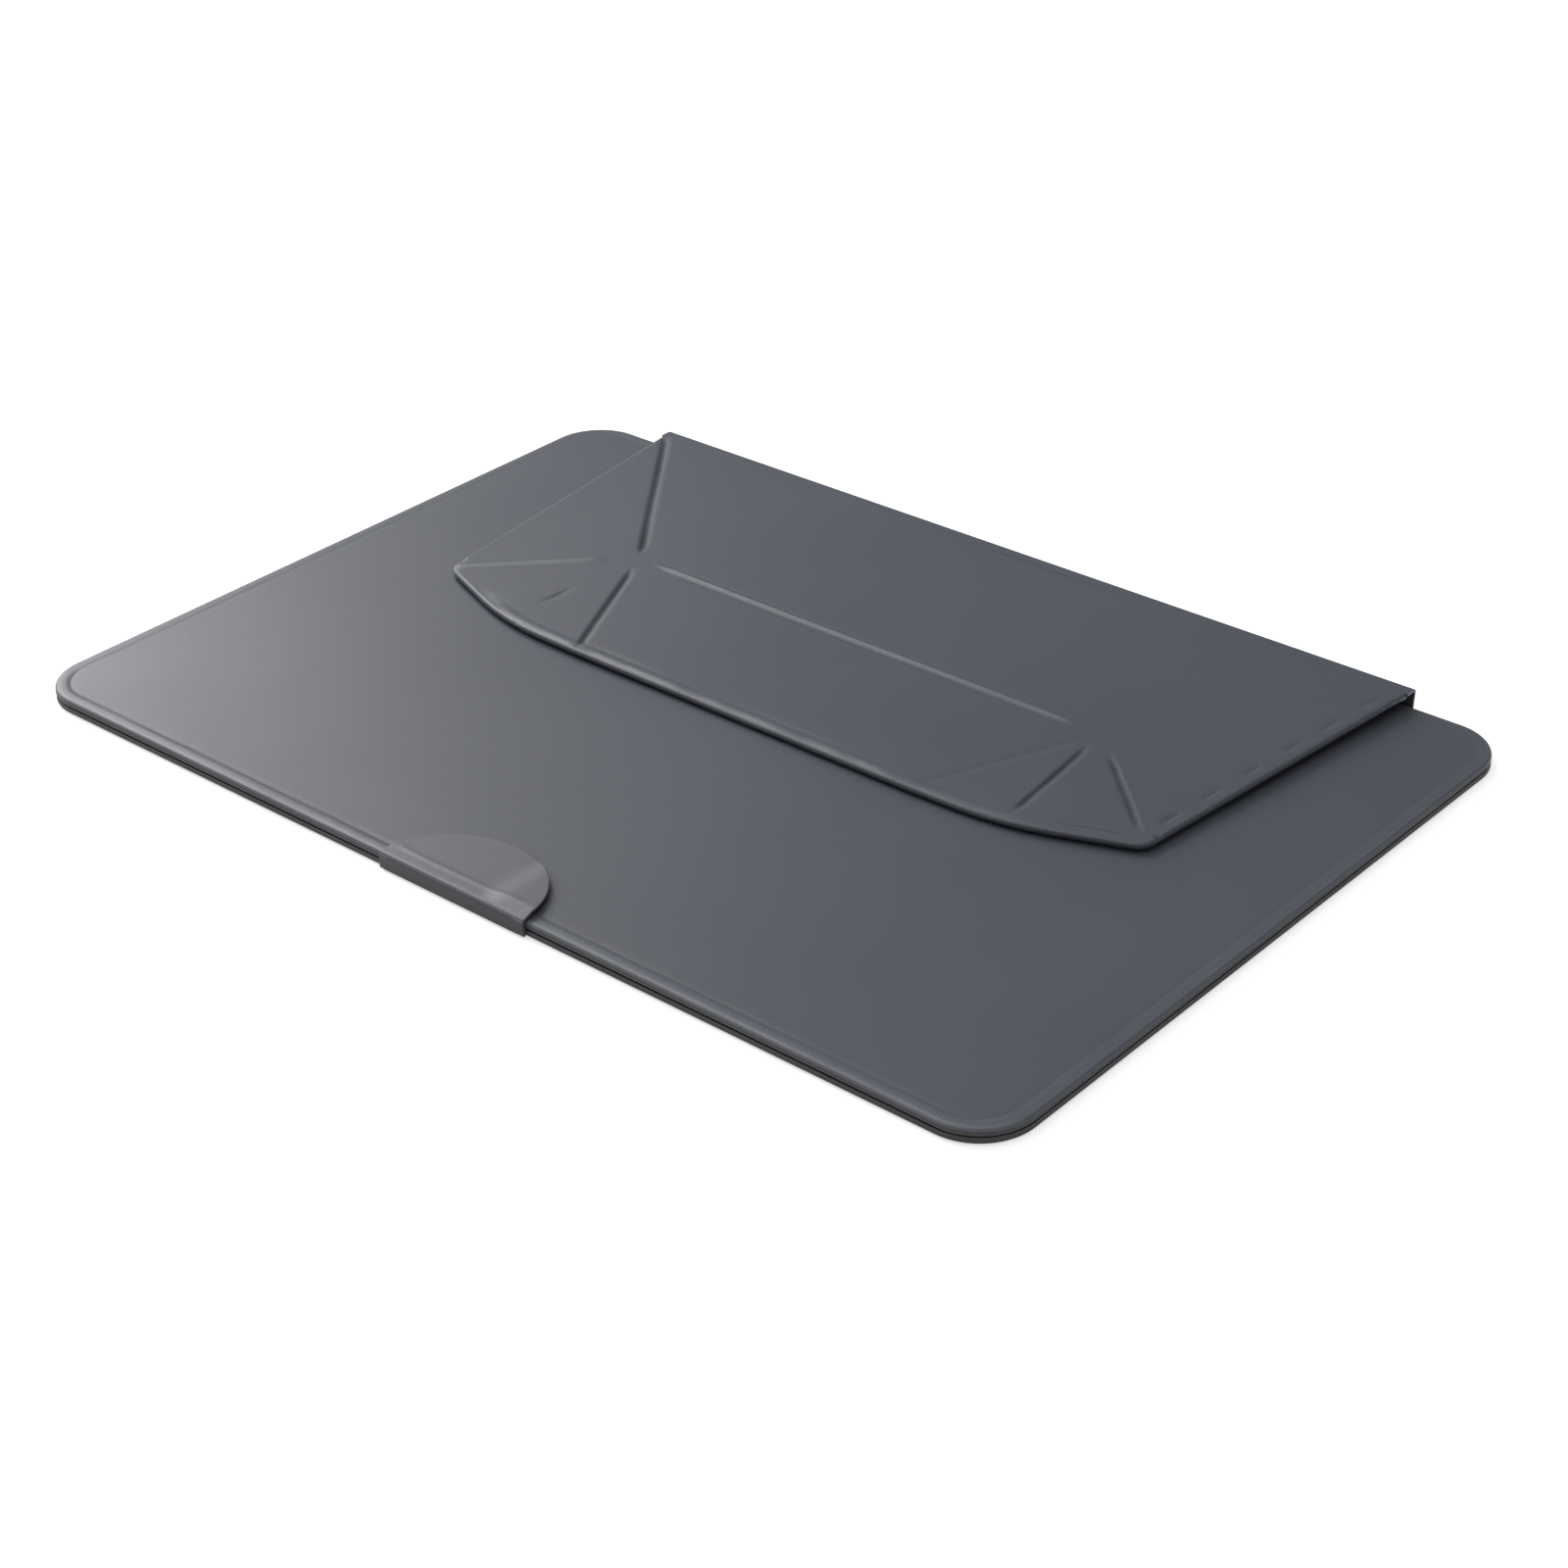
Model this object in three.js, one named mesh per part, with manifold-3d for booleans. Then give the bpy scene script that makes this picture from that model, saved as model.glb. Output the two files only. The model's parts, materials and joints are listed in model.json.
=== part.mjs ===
import * as THREE from 'three';
import { mergeVertices } from 'three/addons/utils/BufferGeometryUtils.js';
import Module from 'manifold-3d';

// A thin leatherette laptop sleeve with a creased flap that pops up into a stand.
// Millimetres, +Z up. The near edge (tab, pocket mouth) faces -Y, the spine faces +Y.

const wasm = await Module();
wasm.setup();

// Sleeve
const sleeveWidth = 355;
const sleeveDepth = 240.5;
const sleeveCorner = 17;
const skin = 0.8;
const board = 0.55;
const lining = 0.35;
const glue = 0.05;
const pocket = 0.9;
const seamWidth = 9;
const fitGap = 0.3;
const softEdge = 0.3;
const softSteps = 2;
const arcSteps = 7;
const cutMargin = 1;

// Spine strip and flap
const spineOut = 2.8;
const spineHalfWidth = 145;
const spineBase = 0.3;
const spineTop = 10.2;
const spineClear = 0.35;
const spineLining = 0.4;
const spineBoard = 0.6;
const spineBoardMargin = 0.6;
const spineLiningDrop = 0.8;
const spineFoldHalf = 0.3;
const spineArcSteps = 6;
const flapLift = 2.6;
const flapDrop = 2.2;
const flapLining = 0.3;
const flapBoard = 1;
const flapSkin = 0.7;

// Crease pattern, measured from the spine's edge and the centre line
const rearCreaseX = 144;
const vertexX = 88.3;
const vertexDepth = 73.4;
const cornerX = 131.6;
const cornerDepth = 113.8;
const bendX = 94.2;
const bendDepth = 127.8;
const innerX = 63;
const flapDepth = 128.7;
const creaseHalf = 0.8;
const bendHalf = 2;
const mainHalf = 0.9;
const rearGap = 1.4;
const boardInset = 1.3;
const sideEase = 6;
const cornerEase = 5;
const easeSteps = 5;

// Magnets and the steel plates they pull on
const magnetRadius = 5;
const magnetPitch = 34;
const magnetInset = 10;
const magnetCount = 4;
const magnetHeight = 0.85;
const keeperHeight = 0.45;

// Closing tab
const tabOut = 1.2;
const tabHalfWidth = 27;
const tabDepth = 24;
const tabLining = 0.25;
const tabSkin = 0.7;
const tabWrap = 0.85;
const tabBase = 0.35;
const tabClear = 0.12;
const tabSoftEdge = 0.2;
const tabMagnetRadius = 5;
const tabMagnetHeight = 0.35;
const tabMagnetDepth = 16;

// Levels and lines worked out from the sizes above
const nearY = -(sleeveDepth + spineOut + tabOut) / 2 + tabOut;
const spineY = nearY + sleeveDepth;
const bottomBoardZ = skin + glue;
const bottomLiningZ = bottomBoardZ + board + glue;
const pocketZ = bottomLiningZ + lining;
const topLiningZ = pocketZ + pocket;
const topBoardZ = topLiningZ + lining + glue;
const topSkinZ = topBoardZ + board + glue;
const faceZ = topSkinZ + skin;
const flapZ = faceZ + flapLift;
const flapBoardZ = flapZ + flapLining + glue;
const flapSkinZ = flapBoardZ + flapBoard + glue;

const finishes = {
  leatherette: { color: 0x6f7377, roughness: 0.5 },
  lining: { color: 0x3f4347, roughness: 0.9 },
  board: { color: 0x8a8174, roughness: 0.85 },
  magnet: { color: 0xb8babd, roughness: 0.3, metalness: 1 },
  steel: { color: 0x8d8f92, roughness: 0.4, metalness: 1 },
};

const sleeve = new THREE.Group();

function addPiece(name, geometry, finish, z = 0) {
  const material = new THREE.MeshStandardMaterial(finishes[finish]);
  const mesh = new THREE.Mesh(geometry, material);
  mesh.name = name;
  mesh.position.z = z;
  sleeve.add(mesh);
}

// A flat sheet cut to an outline, with its edges eased by "soft".
function sheet(outline, height, soft = 0) {
  const geometry = new THREE.ExtrudeGeometry(outline, {
    depth: height - 2 * soft,
    bevelEnabled: soft > 0,
    bevelThickness: soft,
    bevelSize: soft,
    bevelOffset: -soft,
    bevelSegments: softSteps,
    curveSegments: arcSteps,
  });
  geometry.translate(0, 0, soft);
  return geometry;
}

function roundedRectangle(x0, y0, x1, y1, radius) {
  const shape = new THREE.Shape();
  shape.moveTo(x0 + radius, y0);
  shape.lineTo(x1 - radius, y0);
  shape.absarc(x1 - radius, y0 + radius, radius, -Math.PI / 2, 0);
  shape.lineTo(x1, y1 - radius);
  shape.absarc(x1 - radius, y1 - radius, radius, 0, Math.PI / 2);
  shape.lineTo(x0 + radius, y1);
  shape.absarc(x0 + radius, y1 - radius, radius, Math.PI / 2, Math.PI);
  shape.lineTo(x0, y0 + radius);
  shape.absarc(x0 + radius, y0 + radius, radius, Math.PI, 1.5 * Math.PI);
  return shape;
}

function rectangle(x0, y0, x1, y1) {
  return new THREE.Shape([
    new THREE.Vector2(x0, y0),
    new THREE.Vector2(x1, y0),
    new THREE.Vector2(x1, y1),
    new THREE.Vector2(x0, y1),
  ]);
}

function disc(radius, x, y) {
  const path = new THREE.Shape();
  path.absarc(x, y, radius, 0, 2 * Math.PI);
  return path;
}

// Booleans: a closed geometry in, a closed geometry out.
function toSolid(geometry) {
  const bare = geometry.clone();
  bare.deleteAttribute('normal');
  bare.deleteAttribute('uv');
  const merged = mergeVertices(bare, 1e-4);
  return new wasm.Manifold(new wasm.Mesh({
    numProp: 3,
    vertProperties: merged.attributes.position.array,
    triVerts: new Uint32Array(merged.index.array),
  }));
}

function toGeometry(solid) {
  const mesh = solid.getMesh();
  const geometry = new THREE.BufferGeometry();
  geometry.setAttribute('position', new THREE.BufferAttribute(mesh.vertProperties, 3));
  geometry.setIndex(new THREE.BufferAttribute(mesh.triVerts, 1));
  const flat = geometry.toNonIndexed();
  flat.computeVertexNormals();
  return flat;
}

function intersect(a, b) {
  return toGeometry(toSolid(a).intersect(toSolid(b)));
}

function subtract(a, b) {
  return toGeometry(toSolid(a).subtract(toSolid(b)));
}

// Moves each edge of a counter-clockwise outline inwards by its own distance.
function insetCorners(corners, insets) {
  const edges = corners.map((corner, i) => {
    const next = corners[(i + 1) % corners.length];
    const along = new THREE.Vector2().subVectors(next, corner).normalize();
    const inward = new THREE.Vector2(-along.y, along.x);
    return { point: corner.clone().addScaledVector(inward, insets[i]), along };
  });
  return edges.map((edge, i) => {
    const before = edges[(i + edges.length - 1) % edges.length];
    const cross = before.along.cross(edge.along);
    const offset = new THREE.Vector2().subVectors(edge.point, before.point);
    return before.point.clone().addScaledVector(before.along, offset.cross(edge.along) / cross);
  });
}

// A closed outline whose corners are eased, each by its own length of edge; 0 stays sharp.
function easedOutline(corners, eases) {
  const points = corners.flatMap((corner, i) => {
    if (eases[i] === 0) return [corner];
    const before = corners[(i + corners.length - 1) % corners.length];
    const after = corners[(i + 1) % corners.length];
    const towards = (other) => corner.clone().lerp(other, eases[i] / corner.distanceTo(other));
    const curve = new THREE.QuadraticBezierCurve(towards(before), corner, towards(after));
    return curve.getPoints(easeSteps);
  });
  return new THREE.Shape(points);
}

// The sleeve: two stiffened covers, sewn together on three sides.

const innerX0 = -sleeveWidth / 2 + seamWidth + fitGap;
const innerY0 = nearY + seamWidth + fitGap;
const innerY1 = spineY - seamWidth - fitGap;

function coverOutline() {
  return roundedRectangle(-sleeveWidth / 2, nearY, sleeveWidth / 2, spineY, sleeveCorner);
}

function innerOutline() {
  return rectangle(innerX0, innerY0, -innerX0, innerY1);
}

const magnetSpots = Array.from({ length: magnetCount }, (_, i) => ({
  x: (i - (magnetCount - 1) / 2) * magnetPitch,
  y: spineY - flapDepth + magnetInset,
}));
const tabMagnetY = nearY + tabMagnetDepth;

addPiece('bottom_skin', sheet(coverOutline(), skin, softEdge), 'leatherette');
addPiece('bottom_board', sheet(innerOutline(), board), 'board', bottomBoardZ);
addPiece('bottom_lining', sheet(innerOutline(), lining), 'lining', bottomLiningZ);
addPiece('top_lining', sheet(innerOutline(), lining), 'lining', topLiningZ);

const topBoard = innerOutline();
magnetSpots.forEach(({ x, y }) => topBoard.holes.push(disc(magnetRadius + fitGap, x, y)));
topBoard.holes.push(disc(tabMagnetRadius + fitGap, 0, tabMagnetY));
addPiece('top_board', sheet(topBoard, board), 'board', topBoardZ);
addPiece('top_skin', sheet(coverOutline(), skin, softEdge), 'leatherette', topSkinZ);

const keeperZ = topBoardZ + glue;
magnetSpots.forEach(({ x, y }, i) => {
  addPiece(`flap_keeper_${i + 1}`, sheet(disc(magnetRadius, x, y), keeperHeight), 'steel', keeperZ);
});
addPiece('tab_keeper', sheet(disc(tabMagnetRadius, 0, tabMagnetY), keeperHeight), 'steel', keeperZ);

// The sewn edges close the space between the covers, and the mouth's hems leave it open.
function edgeStrip(x0, y0, x1, y1, height) {
  const cover = sheet(coverOutline(), height);
  return intersect(cover, sheet(rectangle(x0, y0, x1, y1), height));
}

const seamHeight = topSkinZ - bottomBoardZ - glue;
const seamX = sleeveWidth / 2 - seamWidth;
const seamY = spineY - seamWidth;
const hemY = nearY + seamWidth;
const pastX = sleeveWidth / 2 + cutMargin;
const pastNearY = nearY - cutMargin;
const pastSpineY = spineY + cutMargin;

const leftSeam = edgeStrip(-pastX, pastNearY, -seamX, pastSpineY, seamHeight);
const rightSeam = edgeStrip(seamX, pastNearY, pastX, pastSpineY, seamHeight);
const rearSeam = edgeStrip(innerX0, seamY, -innerX0, pastSpineY, seamHeight);
addPiece('left_seam', leftSeam, 'leatherette', bottomBoardZ);
addPiece('right_seam', rightSeam, 'leatherette', bottomBoardZ);
addPiece('rear_seam', rearSeam, 'leatherette', bottomBoardZ);

const bottomHem = edgeStrip(innerX0, pastNearY, -innerX0, hemY, pocketZ - bottomBoardZ);
const topHem = edgeStrip(innerX0, pastNearY, -innerX0, hemY, topSkinZ - topLiningZ - glue);
addPiece('mouth_hem_bottom', bottomHem, 'leatherette', bottomBoardZ);
addPiece('mouth_hem_top', topHem, 'leatherette', topLiningZ);

// The spine strip stands behind the sleeve and carries the flap. It has a fold at half its height:
// the lower half stays with the sleeve, and the upper half turns down over it as the flap opens flat.

const spineLiningY = spineY + spineClear;
const spineBoardY = spineLiningY + spineLining + glue;
const spineSkinY = spineBoardY + spineBoard + glue;
const spineLiningTop = spineTop - spineLiningDrop;
const spineFoldZ = (spineBase + spineTop) / 2;

// A section in the YZ plane, run along X over the spine's width.
function spineRun(section) {
  const geometry = new THREE.ExtrudeGeometry(section, {
    depth: 2 * spineHalfWidth,
    bevelEnabled: false,
    curveSegments: spineArcSteps,
  });
  geometry.rotateY(Math.PI / 2);
  geometry.rotateX(Math.PI / 2);
  geometry.translate(-spineHalfWidth, 0, 0);
  return geometry;
}

// The skin bows out from its far end to its full thickness at the fold.
function bowedSection(y0, y1, zEnd, zFold) {
  const section = new THREE.Shape();
  section.moveTo(y0, zEnd);
  section.quadraticCurveTo(y1, zEnd, y1, zFold);
  section.lineTo(y0, zFold);
  section.closePath();
  return section;
}

function addSpineHalf(name, zEnd, zLiningEnd, zFold, outward) {
  const boardEnd = zLiningEnd - outward * spineBoardMargin;
  const boardFold = zFold + outward * spineBoardMargin;
  const liningY1 = spineLiningY + spineLining;
  const boardY1 = spineBoardY + spineBoard;
  const liningSection = rectangle(spineLiningY, zFold, liningY1, zLiningEnd);
  const boardSection = rectangle(spineBoardY, boardFold, boardY1, boardEnd);
  const skinSection = bowedSection(spineSkinY, spineY + spineOut, zEnd, zFold);
  addPiece(`${name}_lining`, spineRun(liningSection), 'lining');
  addPiece(`${name}_board`, spineRun(boardSection), 'board');
  addPiece(`${name}_skin`, spineRun(skinSection), 'leatherette');
}

addSpineHalf('spine_lower', spineBase, spineBase, spineFoldZ - spineFoldHalf, -1);
addSpineHalf('spine_upper', spineTop, spineLiningTop, spineFoldZ + spineFoldHalf, 1);

// The flap: one rear and one front panel, and three triangles at each end.
// Every panel is a lining, a board and an outer skin.

const flapPoint = (x, depth) => new THREE.Vector2(x, spineY - depth);
const vertex = flapPoint(vertexX, vertexDepth);
const rearCrease = flapPoint(rearCreaseX, 0);
const corner = flapPoint(cornerX, cornerDepth);
const bend = flapPoint(bendX, bendDepth);
const inner = flapPoint(innerX, flapDepth);
const mirrored = (point) => new THREE.Vector2(-point.x, point.y);

const panels = {
  rear_panel: {
    corners: [vertex, rearCrease, mirrored(rearCrease), mirrored(vertex)],
    insets: [creaseHalf, rearGap, creaseHalf, mainHalf],
    eases: [0, 0, 0, 0],
  },
  front_panel: {
    corners: [mirrored(inner), inner, vertex, mirrored(vertex)],
    insets: [0, creaseHalf, mainHalf, creaseHalf],
    eases: [0, 0, 0, 0],
    magnets: true,
  },
  side_panel: {
    corners: [vertex, corner, rearCrease],
    insets: [creaseHalf, 0, creaseHalf],
    eases: [0, sideEase, 0],
    pair: true,
  },
  corner_panel: {
    corners: [vertex, bend, corner],
    insets: [bendHalf, 0, creaseHalf],
    eases: [0, 0, cornerEase],
    pair: true,
  },
  fold_panel: {
    corners: [vertex, inner, bend],
    insets: [creaseHalf, 0, bendHalf],
    eases: [0, 0, 0],
    pair: true,
  },
};

function panelOutline(panel, extra, side) {
  const points = insetCorners(panel.corners, panel.insets.map((inset) => inset + extra));
  if (side > 0) return easedOutline(points, panel.eases);
  return easedOutline(points.map(mirrored).reverse(), [...panel.eases].reverse());
}

// The flap slopes down from the spine, so that its front edge lies just clear of the cover.
function sloped(geometry) {
  const slope = flapDrop / flapDepth;
  geometry.applyMatrix4(new THREE.Matrix4().makeShear(0, 0, 0, slope, 0, 0));
  geometry.translate(0, 0, -slope * spineY);
  return geometry;
}

function addPanel(name, panel, side) {
  const outline = panelOutline(panel, 0, side);
  const boardOutline = panelOutline(panel, boardInset, side);
  if (panel.magnets) {
    magnetSpots.forEach(({ x, y }) => boardOutline.holes.push(disc(magnetRadius + fitGap, x, y)));
  }
  addPiece(`${name}_lining`, sloped(sheet(outline, flapLining)), 'lining', flapZ);
  addPiece(`${name}_board`, sloped(sheet(boardOutline, flapBoard)), 'board', flapBoardZ);
  addPiece(`${name}_skin`, sloped(sheet(outline, flapSkin, softEdge)), 'leatherette', flapSkinZ);
}

Object.entries(panels).forEach(([name, panel]) => {
  if (!panel.pair) {
    addPanel(name, panel, 1);
    return;
  }
  addPanel(`left_${name}`, panel, -1);
  addPanel(`right_${name}`, panel, 1);
});

const magnetZ = flapBoardZ + glue;
magnetSpots.forEach(({ x, y }, i) => {
  const magnet = sloped(sheet(disc(magnetRadius, x, y), magnetHeight));
  addPiece(`flap_magnet_${i + 1}`, magnet, 'magnet', magnetZ);
});

// The closing tab: a half-round tongue that comes up round the mouth and lies on the top cover.

const tabLiningZ = faceZ + tabClear;
const tabSkinZ = tabLiningZ + tabLining + glue;
const tabOuterY = nearY - tabOut;
const tabWrapY = tabOuterY + tabWrap;

function tongueOutline(y0) {
  const shape = new THREE.Shape();
  shape.moveTo(-tabHalfWidth, y0);
  shape.lineTo(tabHalfWidth, y0);
  shape.lineTo(tabHalfWidth, nearY);
  shape.absellipse(0, nearY, tabHalfWidth, tabDepth, 0, Math.PI);
  shape.closePath();
  return shape;
}

// The magnet sits in a pocket cut into the underside of the tongue.
const tongueSkin = sheet(tongueOutline(tabOuterY), tabSkin, tabSoftEdge);
const magnetPocket = sheet(disc(tabMagnetRadius + fitGap, 0, tabMagnetY), 2 * tabMagnetHeight);
magnetPocket.translate(0, 0, glue - tabMagnetHeight);
const tabMagnet = sheet(disc(tabMagnetRadius, 0, tabMagnetY), tabMagnetHeight - glue);
const tongueLining = sheet(tongueOutline(tabWrapY + fitGap), tabLining);
const wrapOutline = rectangle(-tabHalfWidth, tabOuterY, tabHalfWidth, tabWrapY);
const wrapHeight = tabSkinZ - glue - tabBase;
addPiece('tab_skin', subtract(tongueSkin, magnetPocket), 'leatherette', tabSkinZ);
addPiece('tab_magnet', tabMagnet, 'magnet', tabSkinZ);
addPiece('tab_lining', tongueLining, 'lining', tabLiningZ);
addPiece('tab_wrap', sheet(wrapOutline, wrapHeight), 'leatherette', tabBase);

export default sleeve;
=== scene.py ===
import json
import math

import bmesh
import bpy
import numpy as np
from mathutils import Matrix, Vector
from mathutils.geometry import delaunay_2d_cdt


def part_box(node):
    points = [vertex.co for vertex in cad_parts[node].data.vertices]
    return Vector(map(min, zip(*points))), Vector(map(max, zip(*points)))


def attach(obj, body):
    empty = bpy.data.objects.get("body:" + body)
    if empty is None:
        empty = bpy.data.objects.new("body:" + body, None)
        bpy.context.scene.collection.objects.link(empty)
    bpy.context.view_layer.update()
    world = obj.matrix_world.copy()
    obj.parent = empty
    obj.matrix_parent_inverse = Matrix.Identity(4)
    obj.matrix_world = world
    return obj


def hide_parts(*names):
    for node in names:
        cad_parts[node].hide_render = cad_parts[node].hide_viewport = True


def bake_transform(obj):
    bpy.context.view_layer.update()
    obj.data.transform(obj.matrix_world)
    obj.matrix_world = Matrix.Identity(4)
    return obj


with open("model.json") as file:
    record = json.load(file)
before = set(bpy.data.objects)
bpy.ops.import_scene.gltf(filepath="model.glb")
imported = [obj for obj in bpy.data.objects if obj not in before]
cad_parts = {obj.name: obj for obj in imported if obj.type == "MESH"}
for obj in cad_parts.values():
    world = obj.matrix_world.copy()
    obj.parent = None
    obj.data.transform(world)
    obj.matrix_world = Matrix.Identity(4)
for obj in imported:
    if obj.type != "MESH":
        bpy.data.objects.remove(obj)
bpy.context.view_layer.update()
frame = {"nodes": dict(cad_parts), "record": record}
print("frame loaded")

# Shapes are worked out in millimetres, because the skins are thin, and scaled to metres at the end.
mm = 0.001


def boxMm(node):
    low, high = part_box(node)
    return low / mm, high / mm


coverLow, coverHigh = boxMm("top_skin")
flapHigh = boxMm("rear_panel_skin")[1]
halfWidth = coverHigh.x
nearY, spineY = coverLow.y, coverHigh.y
faceZ = coverHigh.z

# The flap's two sides are sloping planes, read from the lowest points of its front and rear linings.
frontLow = boxMm("front_panel_lining")[0]
rearLow = boxMm("rear_panel_lining")[0]
flapSlope = (rearLow.z - frontLow.z) / (rearLow.y - frontLow.y)


def flapUnderside(y):
    return frontLow.z + flapSlope * (y - frontLow.y)


flapThick = flapHigh.z - flapUnderside(flapHigh.y)


def flapSurface(y):
    return flapUnderside(y) + flapThick


# Small helpers

def smoothStep(low, high, value):
    t = np.clip((value - low) / (high - low), 0, 1)
    return t * t * (3 - 2 * t)


def bell(value, width):
    return np.exp(-0.5 * (value / width) ** 2)


def roundNose(distance, radius):
    # how far a surface has dropped at this distance from a rounded edge
    d = np.clip(distance, 0, radius)
    return radius - np.sqrt(np.maximum(radius ** 2 - (radius - d) ** 2, 0))


def distanceTo(points, line, closed=False):
    # distance from each point to the nearest stretch of a line of points
    line = np.asarray(line, float)
    a = line if closed else line[:-1]
    b = np.roll(line, -1, axis=0) if closed else line[1:]
    best = np.full(len(points), 1e9)
    for start, end in zip(a, b):
        along = end - start
        length2 = max(along @ along, 1e-12)
        t = np.clip(((points - start) @ along) / length2, 0, 1)
        gap = points - start - t[:, None] * along
        best = np.minimum(best, np.hypot(gap[:, 0], gap[:, 1]))
    return best


def insideOf(points, loop):
    loop = np.asarray(loop, float)
    inside = np.zeros(len(points), bool)
    x, y = points[:, 0], points[:, 1]
    for (x0, y0), (x1, y1) in zip(loop, np.roll(loop, -1, axis=0)):
        if y0 == y1:
            continue
        crosses = (y0 > y) != (y1 > y)
        inside ^= crosses & (x < x0 + (y - y0) * (x1 - x0) / (y1 - y0))
    return inside


def sampleLine(points, step):
    # the same line with a point at least every step
    out = [np.asarray(points[0], float)]
    for start, end in zip(points[:-1], points[1:]):
        start, end = np.asarray(start, float), np.asarray(end, float)
        n = max(1, int(math.ceil(np.linalg.norm(end - start) / step)))
        out += [start + (end - start) * i / n for i in range(1, n + 1)]
    return out


def easeCorner(before, corner, after, ease, steps=8):
    corner = np.asarray(corner, float)
    start = corner + (np.asarray(before) - corner) * ease / np.linalg.norm(np.asarray(before) - corner)
    end = corner + (np.asarray(after) - corner) * ease / np.linalg.norm(np.asarray(after) - corner)
    t = np.linspace(0, 1, steps + 1)[:, None]
    return list((1 - t) ** 2 * start + 2 * t * (1 - t) * corner + t ** 2 * end)


def roundedRectangle(x0, y0, x1, y1, radius, step=5, arcSteps=16):
    points = []
    corners = [(x1 - radius, y0 + radius, -90), (x1 - radius, y1 - radius, 0),
               (x0 + radius, y1 - radius, 90), (x0 + radius, y0 + radius, 180)]
    for cx, cy, first in corners:
        for i in range(arcSteps + 1):
            angle = math.radians(first + 90 * i / arcSteps)
            points.append((cx + radius * math.cos(angle), cy + radius * math.sin(angle)))
    closed = sampleLine(points + [points[0]], step)
    return closed[:-1]


def triangulate(loop, inside):
    # triangles that fill a loop and use the points inside it
    count = len(loop)
    coords = [Vector((float(p[0]), float(p[1]))) for p in list(loop) + list(inside)]
    edges = [(i, (i + 1) % count) for i in range(count)]
    verts, _, faces, _, _, _ = delaunay_2d_cdt(coords, edges, [], 1, 1e-5)
    return np.array([tuple(v) for v in verts]), [tuple(f) for f in faces]


def makeObject(name, verts, faces, materials, slots=None, paintedLight=None, sharp=50):
    # a mesh object from points in millimetres, with its doubles merged and its faces pointing out
    mesh = bpy.data.meshes.new(name)
    mesh.from_pydata([tuple(float(c) * mm for c in v) for v in verts], [], faces)
    if slots is not None:
        mesh.polygons.foreach_set("material_index", slots)
    work = bmesh.new()
    work.from_mesh(mesh)
    bmesh.ops.remove_doubles(work, verts=work.verts, dist=2e-6)
    bmesh.ops.dissolve_degenerate(work, edges=work.edges, dist=1e-6)
    bmesh.ops.recalc_face_normals(work, faces=work.faces)
    work.to_mesh(mesh)
    work.free()
    mesh.polygons.foreach_set("use_smooth", [True] * len(mesh.polygons))
    mesh.set_sharp_from_angle(angle=math.radians(sharp))
    places = np.empty(len(mesh.vertices) * 3)
    mesh.vertices.foreach_get("co", places)
    for attribute, amount in (paintedLight or {}).items():
        values = np.clip(amount(places.reshape(-1, 3) / mm), 0, 1).astype(np.float32)
        mesh.attributes.new(attribute, "FLOAT", "POINT").data.foreach_set("value", values)
    for material in materials:
        mesh.materials.append(material)
    piece = bpy.data.objects.new(name, mesh)
    bpy.context.scene.collection.objects.link(piece)
    return piece


def closedSheet(name, points, faces, topZ, bottomZ, materials, pick=None, paintedLight=None):
    # a closed solid between two surfaces over the same triangles
    x, y = points[:, 0], points[:, 1]
    count = len(points)
    verts = np.vstack([np.column_stack([x, y, topZ(x, y)]), np.column_stack([x, y, bottomZ(x, y)])])
    used = {}
    for face in faces:
        for a, b in zip(face, face[1:] + face[:1]):
            used[(a, b)] = True
    rim = [(a, b) for a, b in used if (b, a) not in used]
    allFaces = list(faces) + [tuple(i + count for i in reversed(f)) for f in faces]
    allFaces += [(a, a + count, b + count, b) for a, b in rim]
    slots = None
    if pick is not None:
        centres = np.array([verts[list(f)].mean(axis=0) for f in allFaces])
        below = np.array([0] * len(faces) + [1] * len(faces) + [2] * len(rim))
        slots = [int(s) for s in pick(centres, below)]
    return makeObject(name, verts, allFaces, materials, slots, paintedLight)


# Materials

def newGroup(name, inputs, outputs):
    group = bpy.data.node_groups.new(name, "ShaderNodeTree")
    for label, kind, value in inputs:
        socket = group.interface.new_socket(name=label, in_out="INPUT", socket_type=kind)
        socket.default_value = value
    for label, kind in outputs:
        group.interface.new_socket(name=label, in_out="OUTPUT", socket_type=kind)
    return group, group.nodes.new("NodeGroupInput"), group.nodes.new("NodeGroupOutput")


def mathNode(tree, operation, a, b=None, clamp=False):
    node = tree.nodes.new("ShaderNodeMath")
    node.operation = operation
    node.use_clamp = clamp
    for socket, value in zip(node.inputs, (a, b)):
        if value is None:
            continue
        if isinstance(value, (int, float)):
            socket.default_value = value
        else:
            tree.links.new(value, socket)
    return node.outputs[0]


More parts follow.
